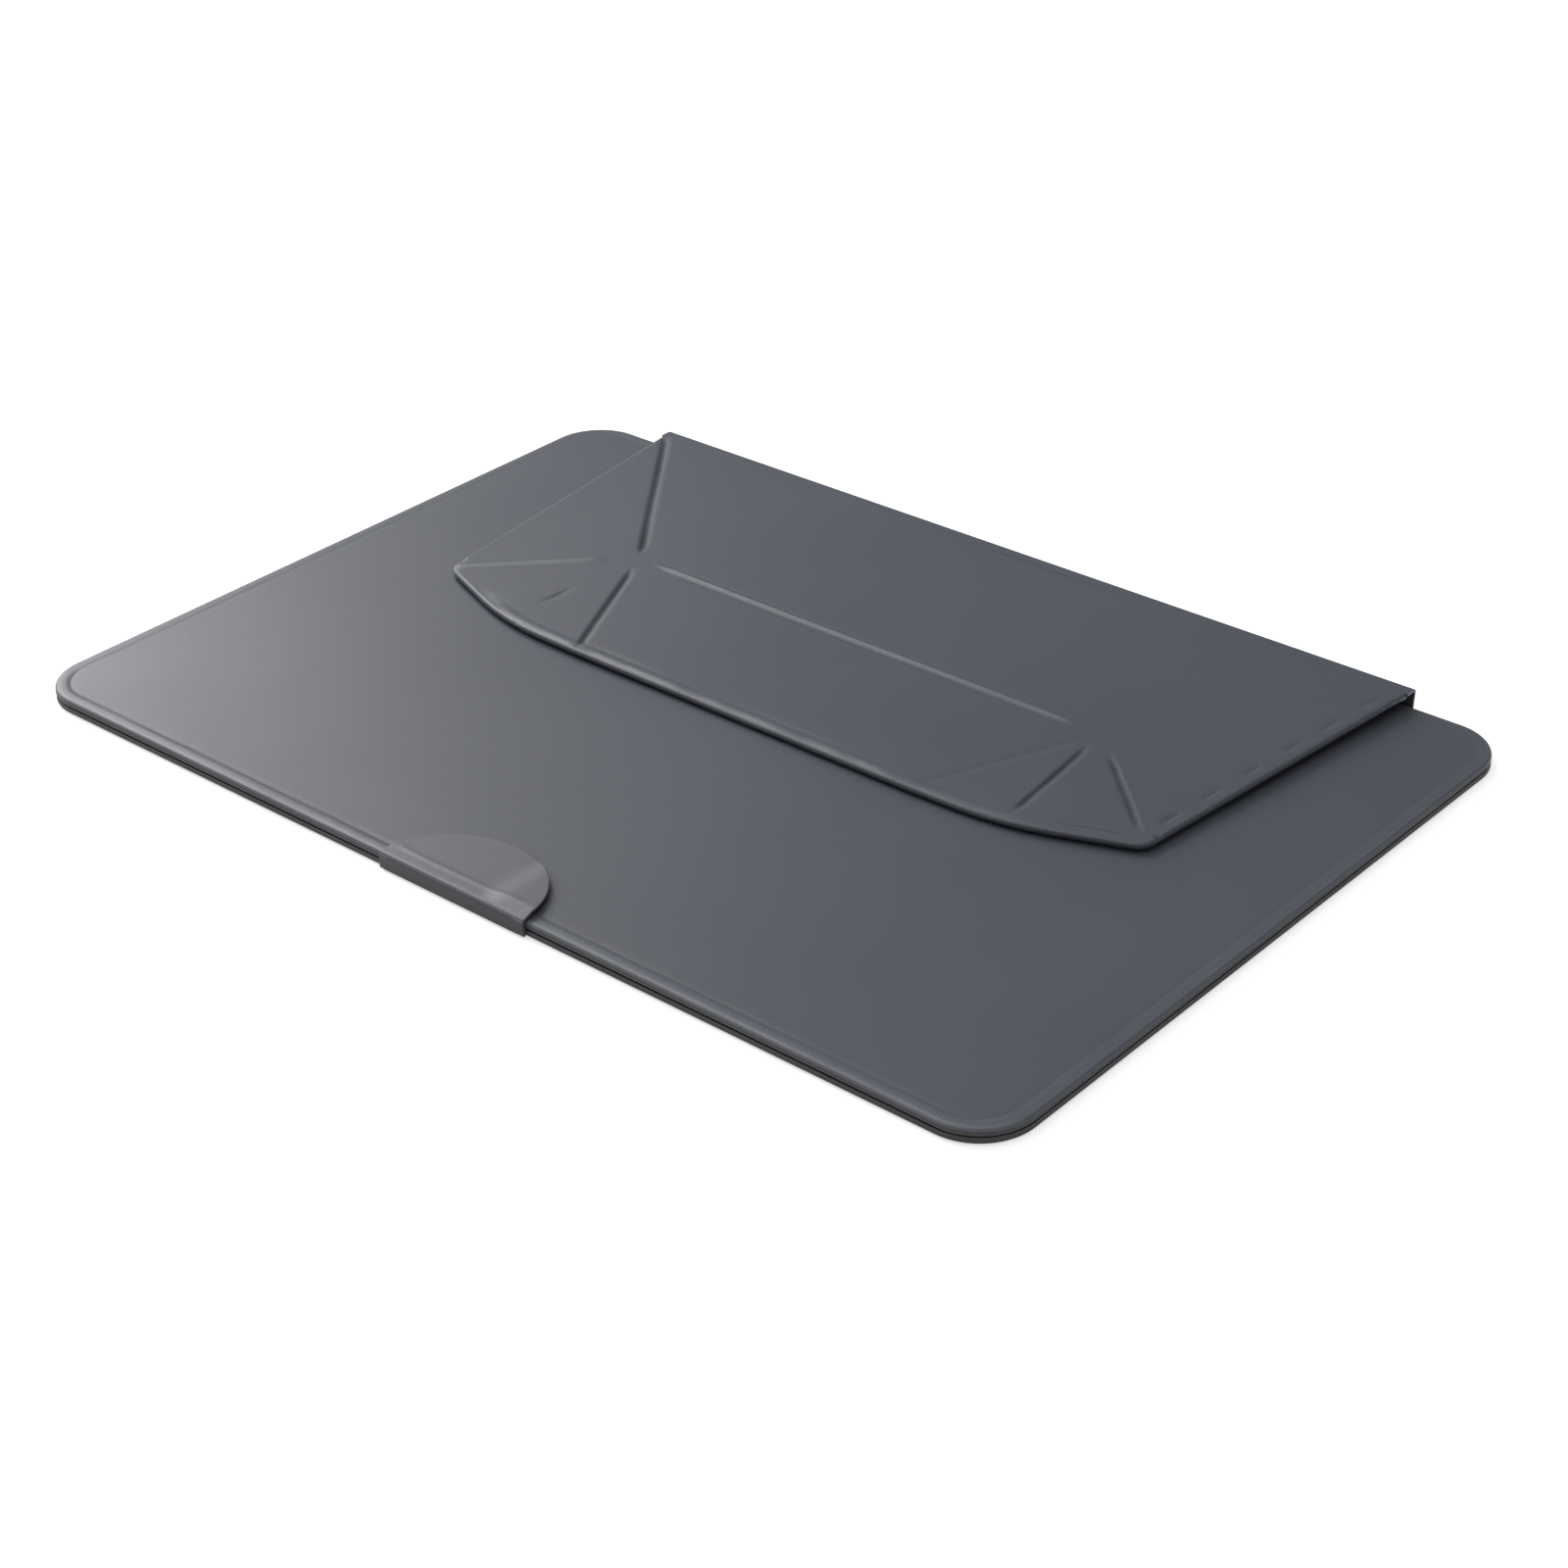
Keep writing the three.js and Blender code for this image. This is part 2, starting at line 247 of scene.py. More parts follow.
def makeGrainGroup():
    # fine pebbled leatherette: a height for bump, and a slow mottle
    group, given, result = newGroup("leatherGrain", [
        ("Pebble Scale", "NodeSocketFloat", 900.0),
        ("Mottle Scale", "NodeSocketFloat", 9.0),
        ("Pore Depth", "NodeSocketFloat", 0.35),
    ], [("Height", "NodeSocketFloat"), ("Mottle", "NodeSocketFloat")])
    tree = group
    place = tree.nodes.new("ShaderNodeTexCoord").outputs["Object"]
    pebble = tree.nodes.new("ShaderNodeTexVoronoi")
    pebble.feature = "SMOOTH_F1"
    pebble.inputs["Smoothness"].default_value = 0.6
    tree.links.new(place, pebble.inputs["Vector"])
    tree.links.new(given.outputs["Pebble Scale"], pebble.inputs["Scale"])
    pores = tree.nodes.new("ShaderNodeTexNoise")
    pores.inputs["Detail"].default_value = 3
    tree.links.new(place, pores.inputs["Vector"])
    tree.links.new(mathNode(tree, "MULTIPLY", given.outputs["Pebble Scale"], 2.3), pores.inputs["Scale"])
    domes = mathNode(tree, "SUBTRACT", 1.0, pebble.outputs["Distance"])
    fine = mathNode(tree, "MULTIPLY", pores.outputs["Fac"], given.outputs["Pore Depth"])
    tree.links.new(mathNode(tree, "ADD", domes, fine), result.inputs["Height"])
    mottle = tree.nodes.new("ShaderNodeTexNoise")
    mottle.inputs["Detail"].default_value = 5
    tree.links.new(place, mottle.inputs["Vector"])
    tree.links.new(given.outputs["Mottle Scale"], mottle.inputs["Scale"])
    tree.links.new(mottle.outputs["Fac"], result.inputs["Mottle"])
    return group


def makePaintedLightGroup():
    # painted highlight on edges and crease tops, and painted shade in the creases, from the mesh's own
    # values, broken up by noise
    group, given, result = newGroup("paintedHighlightAndShade", [
        ("Painted Highlight Amount", "NodeSocketFloat", 0.6),
        ("Painted Shade Amount", "NodeSocketFloat", 0.7),
        ("Patch Scale", "NodeSocketFloat", 90.0),
    ], [("Painted Highlight", "NodeSocketFloat"), ("Painted Shade", "NodeSocketFloat")])
    patch = group.nodes.new("ShaderNodeTexNoise")
    group.links.new(group.nodes.new("ShaderNodeTexCoord").outputs["Object"], patch.inputs["Vector"])
    group.links.new(given.outputs["Patch Scale"], patch.inputs["Scale"])
    for attribute, amount, label in (("paintedHighlight", "Painted Highlight Amount", "Painted Highlight"), ("paintedShade", "Painted Shade Amount", "Painted Shade")):
        place = group.nodes.new("ShaderNodeAttribute")
        place.attribute_name = attribute
        share = mathNode(group, "ADD", patch.outputs["Fac"], 0.4)
        broken = mathNode(group, "MULTIPLY", place.outputs["Fac"], share)
        amounted = mathNode(group, "MULTIPLY", broken, given.outputs[amount], clamp=True)
        group.links.new(amounted, result.inputs[label])
    return group


grainGroup = makeGrainGroup()
paintedLightGroup = makePaintedLightGroup()


def startMaterial(name):
    material = bpy.data.materials.new(name)
    material.use_nodes = True
    tree = material.node_tree
    return material, tree, tree.nodes["Principled BSDF"]


def placeGroup(tree, group, **values):
    node = tree.nodes.new("ShaderNodeGroup")
    node.node_tree = group
    for label, value in values.items():
        node.inputs[label.replace("_", " ")].default_value = value
    return node


def mixColour(tree, factor, first, second):
    node = tree.nodes.new("ShaderNodeMix")
    node.data_type = "RGBA"
    tree.links.new(factor, node.inputs["Factor"])
    for socket, value in ((node.inputs[6], first), (node.inputs[7], second)):
        if isinstance(value, tuple):
            socket.default_value = (*value, 1)
        else:
            tree.links.new(value, socket)
    return node.outputs[2]


def spread(tree, value, low, high):
    node = tree.nodes.new("ShaderNodeMapRange")
    tree.links.new(value, node.inputs["Value"])
    node.inputs["From Min"].default_value = 0.3
    node.inputs["From Max"].default_value = 0.7
    node.inputs["To Min"].default_value = low
    node.inputs["To Max"].default_value = high
    return node.outputs["Result"]


def bumpFrom(tree, height, strength, distance):
    node = tree.nodes.new("ShaderNodeBump")
    node.inputs["Strength"].default_value = strength
    node.inputs["Distance"].default_value = distance
    tree.links.new(height, node.inputs["Height"])
    return node.outputs["Normal"]


def makeLeather(name, look):
    material, tree, shader = startMaterial(name)
    grain = placeGroup(tree, grainGroup, Pebble_Scale=look["pebbleScale"])
    paintedLight = placeGroup(tree, paintedLightGroup)
    body = mixColour(tree, grain.outputs["Mottle"], look["dark"], look["light"])
    # painted shade darkens the creases, then painted highlight lightens the edges and crease tops
    withPaintedShade = mixColour(tree, paintedLight.outputs["Painted Shade"], body, look["shadeColour"])
    colour = mixColour(tree, paintedLight.outputs["Painted Highlight"], withPaintedShade, look["highlightColour"])
    tree.links.new(colour, shader.inputs["Base Color"])
    rough = spread(tree, grain.outputs["Mottle"], look["roughLow"], look["roughHigh"])
    rough = mathNode(tree, "ADD", rough, paintedLight.outputs["Painted Shade"], clamp=True)
    tree.links.new(rough, shader.inputs["Roughness"])
    tree.links.new(bumpFrom(tree, grain.outputs["Height"], look["bump"], look["bumpDepth"]),
                   shader.inputs["Normal"])
    shader.inputs["Specular IOR Level"].default_value = look["specular"]
    shader.inputs["Sheen Weight"].default_value = look["sheen"]
    shader.inputs["Sheen Roughness"].default_value = 0.4
    shader.inputs["Sheen Tint"].default_value = (0.8, 0.85, 0.9, 1)
    return material


# the lighter mix colour is a painted highlight and the darkest one a painted shade, laid on by the mesh's
# values
leatherLook = {
    "dark": (0.052, 0.058, 0.076), "light": (0.062, 0.069, 0.088), "highlightColour": (0.18, 0.19, 0.21),
    "shadeColour": (0.012, 0.013, 0.017), "pebbleScale": 1100.0, "bump": 0.22,
    "roughLow": 0.40, "roughHigh": 0.50,
    "bumpDepth": 0.00006, "specular": 0.5, "sheen": 0.03,
}
# this dark edge colour is painted shade on the cover walls, the seam band and the tab's wall and rim
edgeShadeLook = {
    "dark": (0.020, 0.021, 0.023), "light": (0.029, 0.030, 0.033), "highlightColour": (0.06, 0.06, 0.065),
    "shadeColour": (0.01, 0.01, 0.01), "pebbleScale": 1600.0, "roughLow": 0.5, "roughHigh": 0.65, "bump": 0.2,
    "bumpDepth": 0.00005, "specular": 0.4, "sheen": 0.0,
}
# a lighter copy of the leatherette, painted light for the tab's top
tabLitLook = {**leatherLook, "dark": (0.073, 0.077, 0.090), "light": (0.084, 0.089, 0.103)}
leather = makeLeather("greyLeatherette", leatherLook)
tabLitLeather = makeLeather("tabLeatheretteLit", tabLitLook)
edgeShade = makeLeather("edgePaintedShade", edgeShadeLook)


def makeLining():
    material, tree, shader = startMaterial("microfibreLining")
    place = tree.nodes.new("ShaderNodeTexCoord").outputs["Object"]
    nap = tree.nodes.new("ShaderNodeTexNoise")
    nap.inputs["Scale"].default_value = 2200
    nap.inputs["Detail"].default_value = 4
    brushed = tree.nodes.new("ShaderNodeTexNoise")
    brushed.inputs["Scale"].default_value = 38
    for node in (nap, brushed):
        tree.links.new(place, node.inputs["Vector"])
    colour = mixColour(tree, brushed.outputs["Fac"], (0.035, 0.037, 0.041), (0.062, 0.065, 0.071))
    tree.links.new(colour, shader.inputs["Base Color"])
    tree.links.new(bumpFrom(tree, nap.outputs["Fac"], 0.5, 0.0001), shader.inputs["Normal"])
    shader.inputs["Roughness"].default_value = 0.95
    shader.inputs["Sheen Weight"].default_value = 0.5
    shader.inputs["Sheen Roughness"].default_value = 0.5
    return material


def makeBoard():
    material, tree, shader = startMaterial("fibreBoard")
    place = tree.nodes.new("ShaderNodeTexCoord").outputs["Object"]
    fibres = tree.nodes.new("ShaderNodeTexNoise")
    fibres.inputs["Scale"].default_value = 420
    fibres.inputs["Detail"].default_value = 6
    fibres.inputs["Distortion"].default_value = 1.5
    tree.links.new(place, fibres.inputs["Vector"])
    colour = mixColour(tree, fibres.outputs["Fac"], (0.16, 0.13, 0.10), (0.33, 0.28, 0.22))
    tree.links.new(colour, shader.inputs["Base Color"])
    tree.links.new(bumpFrom(tree, fibres.outputs["Fac"], 0.4, 0.0001), shader.inputs["Normal"])
    shader.inputs["Roughness"].default_value = 0.85
    return material


def makeMetal(name, low, high, roughness):
    material, tree, shader = startMaterial(name)
    place = tree.nodes.new("ShaderNodeTexCoord").outputs["Object"]
    marks = tree.nodes.new("ShaderNodeTexNoise")
    marks.inputs["Scale"].default_value = 900
    tree.links.new(place, marks.inputs["Vector"])
    tree.links.new(mixColour(tree, marks.outputs["Fac"], low, high), shader.inputs["Base Color"])
    rough = spread(tree, marks.outputs["Fac"], roughness, roughness + 0.15)
    tree.links.new(rough, shader.inputs["Roughness"])
    shader.inputs["Metallic"].default_value = 1
    return material


lining = makeLining()
board = makeBoard()
magnet = makeMetal("nickelPlate", (0.55, 0.55, 0.53), (0.72, 0.71, 0.69), 0.2)
steel = makeMetal("bareSteel", (0.38, 0.38, 0.39), (0.52, 0.52, 0.53), 0.35)

finishOf = {"lining": lining, "board": board, "magnet": magnet, "steel": steel, "leatherette": leather}
for entry in frame["record"]["subparts"]:
    node = frame["nodes"][entry["node"]]
    node.data.materials.clear()
    node.data.materials.append(finishOf[entry["material_slot"]])
print("materials made")


# The covers

cover = {
    "corner": 17.0, "roll": 1.0, "lowerRoll": 0.6, "hemLine": 4.4, "hemDepth": 0.12,
    "hemSwell": 0.12, "hemWidth": 0.42, "wave": 0.10, "topHemZ": 2.5, "bottomHemZ": 2.0,
    "liningAt": 8.55, "mouthBand": (-105, -113), "spacing": 8.0, "gridInset": 19,
}
coverRows = [0.04, 0.16, 0.35, 0.6, 0.89, 1.2, 1.9, 2.8, 3.5, 3.9, 4.2, 4.4, 4.6, 4.9, 5.3, 6.2, 7.6,
             8.4, 8.7, 11, 15]


def outlineDepth(x, y):
    # distance inwards from the covers' rounded outline
    r = cover["corner"]
    middle = (nearY + spineY) / 2
    dx = np.abs(x) - (halfWidth - r)
    dy = np.abs(y - middle) - ((spineY - nearY) / 2 - r)
    outside = np.hypot(np.maximum(dx, 0), np.maximum(dy, 0)) + np.minimum(np.maximum(dx, dy), 0)
    return np.maximum(r - outside, 0)


def slowWave(x, y):
    # the gentle unevenness of a stiffened skin, about -1 to 1
    return (0.5 * np.sin(x / 37 + 0.6) * np.cos(y / 29 - 0.4) + 0.3 * np.sin((x + y) / 21 + 2.1)
            + 0.2 * np.cos((x - 1.6 * y) / 15))


def coverOutline(depth=0.0, step=5):
    return roundedRectangle(-halfWidth + depth, nearY + depth, halfWidth - depth, spineY - depth,
                            max(cover["corner"] - depth, 1.5), step)


def mouthShare(y):
    return smoothStep(*cover["mouthBand"], y)


def hemRelief(depth, x, y):
    # pressed hardest along the mouth
    nearMouth = 0.35 + 0.65 * mouthShare(y)
    line = cover["hemDepth"] * nearMouth * (1 + 0.25 * np.sin(x / 7 + y / 9))
    swell = cover["hemSwell"] * nearMouth
    return (swell * bell(depth - 2.4, 1.0) - line * bell(depth - cover["hemLine"], cover["hemWidth"])
            + cover["wave"] * slowWave(x, y) * smoothStep(6, 30, depth))


def topCoverZ(x, y):
    depth = outlineDepth(x, y)
    return faceZ - roundNose(depth, cover["roll"]) + hemRelief(depth, x, y)


def topCoverUnder(x, y):
    depth = outlineDepth(x, y)
    edge = cover["topHemZ"] + roundNose(depth, 0.35)
    deep = boxMm("top_skin")[0].z
    return np.where(depth > cover["liningAt"], deep, np.where(depth > 0.38, cover["topHemZ"], edge))


def bottomCoverUnder(x, y):
    depth = outlineDepth(x, y)
    return roundNose(depth, cover["lowerRoll"] + 0.3) + 0.12 * bell(depth - cover["hemLine"], 0.4)


def bottomCoverZ(x, y):
    depth = outlineDepth(x, y)
    rim = cover["lowerRoll"] + 0.3
    return np.where(depth > cover["liningAt"], boxMm("bottom_skin")[1].z,
                    np.where(depth > 0.1, cover["bottomHemZ"], rim))


def pickTopCover(centres, kind):
    # the wall below the rolled edge gets the dark edge colour, painted shade
    return np.where(centres[:, 2] < faceZ - 0.75, 1, 0)


def pickBottomCover(centres, kind):
    # only the flat underside keeps the leatherette; the rim gets the dark edge colour, painted shade
    flat = (centres[:, 2] < 0.12) & (kind == 1)
    return np.where(flat, 0, 1)


def coverHighlight(places):
    # painted highlight: strongest on the rolled edge, then on the swell beside the pressed line
    depth = outlineDepth(places[:, 0], places[:, 1])
    nearMouth = 0.3 + 0.7 * mouthShare(places[:, 1])
    return nearMouth * (0.9 * bell(depth - 0.8, 0.5) + 0.25 * bell(depth - 2.6, 0.9))


def coverShade(places):
    # painted shade in the pressed line, stronger along the mouth
    depth = outlineDepth(places[:, 0], places[:, 1])
    return (0.08 + 0.14 * mouthShare(places[:, 1])) * bell(depth - cover["hemLine"], 0.4)


coverPaintedLight = {"paintedHighlight": coverHighlight, "paintedShade": coverShade}


def buildCover(name, topZ, bottomZ, pick, nodes):
    loop = coverOutline()
    inner = [p for row in coverRows for p in coverOutline(row)]
    inset, spacing = cover["gridInset"], cover["spacing"]
    xs = np.arange(-halfWidth + inset, halfWidth - inset + 1, spacing)
    ys = np.arange(nearY + inset, spineY - inset + 1, spacing)
    inner += [(x, y) for x in xs for y in ys]
    points, faces = triangulate(loop, inner)
    piece = closedSheet(name, points, faces, topZ, bottomZ, [leather, edgeShade], pick, coverPaintedLight)
    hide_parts(*nodes)
    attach(piece, "sleeve")
    return piece


buildCover("frontCover", topCoverZ, topCoverUnder, pickTopCover, ["top_skin", "mouth_hem_top"])
buildCover("backCover", bottomCoverZ, bottomCoverUnder, pickBottomCover,
           ["bottom_skin", "mouth_hem_bottom"])


seam = {"inset": 0.45, "width": 8.0, "lap": 0.12}


def buildSeam():
    # the sewn sandwich between the covers: a band round three sides, a little inside their edges, coloured
    # with the dark painted-shade edge
    low, high = cover["bottomHemZ"] - seam["lap"], cover["topHemZ"] + seam["lap"]
    outer = coverOutline(seam["inset"], 1000)
    inner = coverOutline(seam["inset"] + seam["width"], 1000)
    verts, faces = [], []
    for (x, y), (innerX, innerY) in zip(outer, inner):
        verts += [(x, y, low), (x, y, high), (innerX, innerY, high), (innerX, innerY, low)]
    count = len(outer)
    for i in range(count - 1):
        for k in range(4):
            faces.append((4 * i + k, 4 * i + (k + 1) % 4, 4 * (i + 1) + (k + 1) % 4, 4 * (i + 1) + k))
    faces += [(3, 2, 1, 0), tuple(4 * (count - 1) + k for k in range(4))]
    piece = makeObject("sewnSeam", verts, faces, [edgeShade])
    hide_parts("left_seam", "right_seam", "rear_seam")
    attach(piece, "sleeve")


buildSeam()
print("covers built")


# The flap: its crease pattern, depths measured from the spine edge

pattern = {
    "vertex": (88.3, 73.4), "rearEnd": (144.0, 0.0), "corner": (131.6, 113.8), "bend": (94.2, 127.8),
    "inner": (63.0, 128.7), "cornerEase": 4.0, "bendEase": 16.0, "rearGap": 2.2,
    "stripHalf": 3.0, "taper": 0.26,
}
flapNose = flapThick / 2


def patternPoint(name, side=1):
    x, depth = pattern[name]
    return np.array([side * x, spineY - depth])


def flapOutline():
    # the flap's free edge, from the right rear corner round the front to the left rear corner
    rear, corner, bend, inner = (patternPoint(n) for n in ("rearEnd", "corner", "bend", "inner"))
    rear = rear + (corner - rear) * pattern["rearGap"] / abs(corner[1] - rear[1])
    half = [rear]
    half += easeCorner(rear, corner, bend, pattern["cornerEase"])
    half += easeCorner(corner, bend, inner, pattern["bendEase"], 10)
    half += [inner]
    mirrored = [np.array([-p[0], p[1]]) for p in reversed(half)]
    return sampleLine(half + mirrored, 1.6)


freeEdge = flapOutline()
rearLine = sampleLine([freeEdge[-1], freeEdge[0]], 3.0)
flapLoop = freeEdge + rearLine[1:-1]

# Marks along a crease: how far across, height, width on either side, and the stretch from the vertex.
creases = {
    "rearRight": {"side": 1, "to": "rearEnd", "marks": [(0.0, -0.03, 0.6, 0.6, 14, 90)]},
    "cornerRight": {"side": 1, "to": "corner",
                    "marks": [(-0.4, -0.34, 0.45, 1.3, 13, 50), (1.6, 0.10, 0.6, 0.6, 10, 54)]},
    "bendRight": {"side": 1, "to": "bend", "marks": [(-0.2, -0.46, 0.45, 1.0, 9, 47)]},
    "innerRight": {"side": 1, "to": "inner", "marks": [(0.0, -0.12, 0.9, 1.1, 8, 56)]},
    "rearLeft": {"side": -1, "to": "rearEnd", "marks": [(0.3, -0.50, 1.1, 0.5, 4, 88)]},
    "cornerLeft": {"side": -1, "to": "corner", "marks": [(0.0, 0.44, 1.4, 1.4, 12, 58)]},
    "bendLeft": {"side": -1, "to": "bend", "marks": [(0.0, -0.26, 0.6, 0.9, 28, 39)]},
    "innerLeft": {"side": -1, "to": "inner", "marks": [(-0.2, -0.50, 0.48, 1.0, 9, 58)]},
}
ridge = {"height": 0.42, "width": 0.6, "fade": (5.0, 15.0), "flank": -0.08, "flankAt": 1.8,
         "flankWidth": 0.5}


def creaseFrame(crease):
    start = patternPoint("vertex", crease["side"])
    end = patternPoint(crease["to"], crease["side"])
    along = (end - start) / np.linalg.norm(end - start)
    return start, along, np.array([-along[1], along[0]])


def flapRelief(x, y):
    points = np.column_stack([x, y])
    height = 0.08 * slowWave(x + 40, y)
    for crease in creases.values():
        start, along, across = creaseFrame(crease)
        s = (points - start) @ along
        n = (points - start) @ across
        for at, tall, lowWidth, highWidth, first, last in crease["marks"]:
            fade = smoothStep(first - 3, first + 5, s) * (1 - smoothStep(last - 5, last + 3, s))
            clip = 1 - smoothStep(2.2, 3.0, np.abs(n))
            height += tall * bell(n - at, np.where(n < at, lowWidth, highWidth)) * fade * clip
    fromRidge = y - patternPoint("vertex")[1]
    ridgeEnd = pattern["vertex"][0]
    fade = 1 - smoothStep(ridgeEnd - ridge["fade"][1], ridgeEnd - ridge["fade"][0], np.abs(x))
    clip = 1 - smoothStep(2.2, 3.0, np.abs(fromRidge))
    crown = ridge["height"] * bell(fromRidge, ridge["width"])
    flank = ridge["flank"] * bell(np.abs(fromRidge) - ridge["flankAt"], ridge["flankWidth"])
    return height + fade * clip * (crown + flank)


# the last entry places a painted highlight spot on the turned edge
flapHem = {"swell": 0.20, "swellAt": 2.3, "swellWidth": 1.0, "line": 0.14, "lineAt": 4.7, "lineWidth": 0.6,
           "dash": 0.24, "dashPitch": 17.0, "wrinkle": 0.12, "calmFrom": (20, 110), "highlightSpotX": -106}


def calmShare(x):
    # the turned edge gets calmer towards the right
    return smoothStep(*flapHem["calmFrom"], x)


def flapEdgeRelief(x, y, depth):
    # the turned edge: a soft swell, and a pressed line inside it that comes and goes
    onSide = smoothStep(96, 112, np.abs(x))
    run = np.where(onSide > 0.5, y, x)
    beat = smoothStep(0.1, 0.5, np.sin(2 * math.pi * run / flapHem["dashPitch"]))
    line = flapHem["line"] * (1 - onSide) * (0.6 + 0.4 * np.sin(x / 11)) * (1 - 0.6 * calmShare(x))
    line += flapHem["dash"] * beat * onSide * (x > 0)
    wrinkle = np.sin(run / 4.3) * np.sin(run / 11.7 + 0.8)
    wrinkle = wrinkle + 0.6 * np.sin(run / 2.6 + 1.3) * np.sin(run / 23)
    swell = flapHem["swell"] + flapHem["wrinkle"] * wrinkle
    swell = swell * (1 - 0.9 * onSide) * (1 - 0.5 * calmShare(x))
    return (swell * bell(depth - flapHem["swellAt"], flapHem["swellWidth"])
            - line * bell(depth - flapHem["lineAt"], flapHem["lineWidth"]))


def edgeDepth(x, y):
    return distanceTo(np.column_stack([x, y]), freeEdge)


def flapTopZ(x, y):
    depth = edgeDepth(x, y)
    inner = smoothStep(0.6, 2.0, depth)
    relief = inner * (flapRelief(x, y) + flapEdgeRelief(x, y, depth))
    return flapSurface(y) - roundNose(depth, flapNose) + relief


def flapUnderZ(x, y):
    return flapUnderside(y) + roundNose(edgeDepth(x, y), flapNose)


def rayHit(origin, direction):
    # where a line from a crease first meets the flap's outline
    best = None
    loop = np.asarray(flapLoop)
    for a, b in zip(loop, np.roll(loop, -1, axis=0)):
        edge = b - a
        det = direction[0] * -edge[1] + direction[1] * edge[0]
        if abs(det) < 1e-9:
            continue
        gap = a - origin
        t = (gap[0] * -edge[1] + gap[1] * edge[0]) / det
        u = (direction[0] * gap[1] - direction[1] * gap[0]) / det
        if -1e-6 <= u <= 1 + 1e-6 and t > 5 and (best is None or t < best):
            best = t
    return best


def flapHighlight(places):
    # painted highlight on the turned edge, a bright spot on its left part, and the tops of the creases
    depth = edgeDepth(places[:, 0], places[:, 1])
    raised = np.clip(flapRelief(places[:, 0], places[:, 1]) - 0.12, 0, 0.3)
    onSide = smoothStep(96, 112, np.abs(places[:, 0]))
    x = places[:, 0]
    along = (1 - onSide) * (1 - 0.65 * calmShare(x))
    along = along * (0.8 + 0.35 * np.sin(x / 4.3) * np.sin(x / 13))
    highlightSpot = 0.9 * bell(x - flapHem["highlightSpotX"], 4) * bell(depth - 3.4, 0.9)
    return 0.8 * along * bell(depth - 1.6, 1.1) + highlightSpot + 2.6 * raised


def flapShade(places):
    # painted shade where the relief sinks into creases and pressed lines, and along the flap's left side
    # edge
    x, y = places[:, 0], places[:, 1]
    depth = edgeDepth(x, y)
    relief = smoothStep(0.6, 2.0, depth) * (flapRelief(x, y) + flapEdgeRelief(x, y, depth))
    leftEdgeShade = 0.3 * smoothStep(-100, -112, x) * smoothStep(35, 45, y) * bell(depth, 0.8)
    return 2.2 * np.clip(-0.06 - relief, 0, 0.4) + leftEdgeShade


flapPaintedLight = {"paintedHighlight": flapHighlight, "paintedShade": flapShade}

stripHalfAcross = [0.08, 0.17, 0.26, 0.36, 0.48, 0.62, 0.8, 1]
stripAcross = [-share for share in reversed(stripHalfAcross)] + [0] + stripHalfAcross


def stripRows(length, plainCount):
    # steps along a crease, close together where the edge turns over
    noseSteps = [0.035, 0.14, 0.31, 0.55, 0.8, 1.1, 1.7, 2.6, 3.8, 4.7, 5.6]
    plain = list(np.linspace(0, length - 7, plainCount))
    return plain + [length - s for s in reversed(noseSteps)] + [length]


def creaseGrid(crease):
    # points of a crease's strip: it starts as a point at the vertex and widens to its full width
    start, along, across = creaseFrame(crease)
    columns = []
    plainCount = int(rayHit(start, along) / 2.2)
    for share in stripAcross:
        offset = share * pattern["stripHalf"]
        length = rayHit(start + across * offset, along)
        rows = stripRows(length, plainCount)
        line = []
        for s in rows:
            wide = min(pattern["stripHalf"], s * pattern["taper"])
            line.append(start + along * s + across * share * wide)
        columns.append(line)
    return columns


def ridgeGrid():
    left, right = patternPoint("vertex", -1), patternPoint("vertex", 1)
    length = right[0] - left[0]
    steps = np.linspace(0, length, 90)
    columns = []
    for share in stripAcross:
        line = []
        for s in steps:
            wide = min(pattern["stripHalf"], min(s, length - s) * pattern["taper"])
            line.append(np.array([left[0] + s, left[1] + share * wide]))
        columns.append(line)
    return columns


grids = {name: creaseGrid(crease) for name, crease in creases.items()}
grids["ridge"] = ridgeGrid()


def gridSheet(name, columns, materials, pick):
    # a closed strip from a grid of points
    rows = len(columns[0])
    points = np.array([p for line in columns for p in line])
    index = lambda c, r: c * rows + r
    faces = []
    for c in range(len(columns) - 1):
        for r in range(rows - 1):
            faces.append((index(c, r), index(c, r + 1), index(c + 1, r + 1), index(c + 1, r)))
    a, b, c = points[list(faces[len(faces) // 2][:3])]
    if (b[0] - a[0]) * (c[1] - a[1]) - (b[1] - a[1]) * (c[0] - a[0]) < 0:
        faces = [tuple(reversed(f)) for f in faces]
    return closedSheet(name, points, faces, flapTopZ, flapUnderZ, materials, pick, flapPaintedLight)


def pickFlap(centres, kind):
    # leatherette above and round the turned edge, lining below
    depth = edgeDepth(centres[:, 0], centres[:, 1])
    return np.where((kind == 0) | (depth < 4.2), 0, 1)


def loopSpan(start, end):
    # the outline's own points between two places on it, going forward
    loop = np.asarray(flapLoop)
    lengths = np.concatenate([[0], np.cumsum(np.linalg.norm(np.roll(loop, -1, axis=0) - loop, axis=1))])
    total = lengths[-1]

    def place(point):
        best, where = 1e9, 0
        for i, (a, b) in enumerate(zip(loop, np.roll(loop, -1, axis=0))):
            edge = b - a
            t = np.clip((point - a) @ edge / (edge @ edge), 0, 1)
            gap = np.linalg.norm(point - a - t * edge)
            if gap < best:
                best, where = gap, lengths[i] + t * np.linalg.norm(edge)
        return where

    first, last = place(start), place(end)
    if last < first:
        last += total
    between = []
    for turn in (0, total):
        between += [loop[i] for i in range(len(loop)) if first + 0.35 < lengths[i] + turn < last - 0.35]
    return between


edgeRows = [0.035, 0.14, 0.31, 0.55, 0.8, 1.1, 1.7, 2.4, 3.2, 4.0, 4.4, 4.8, 5.2, 5.8, 7.0]


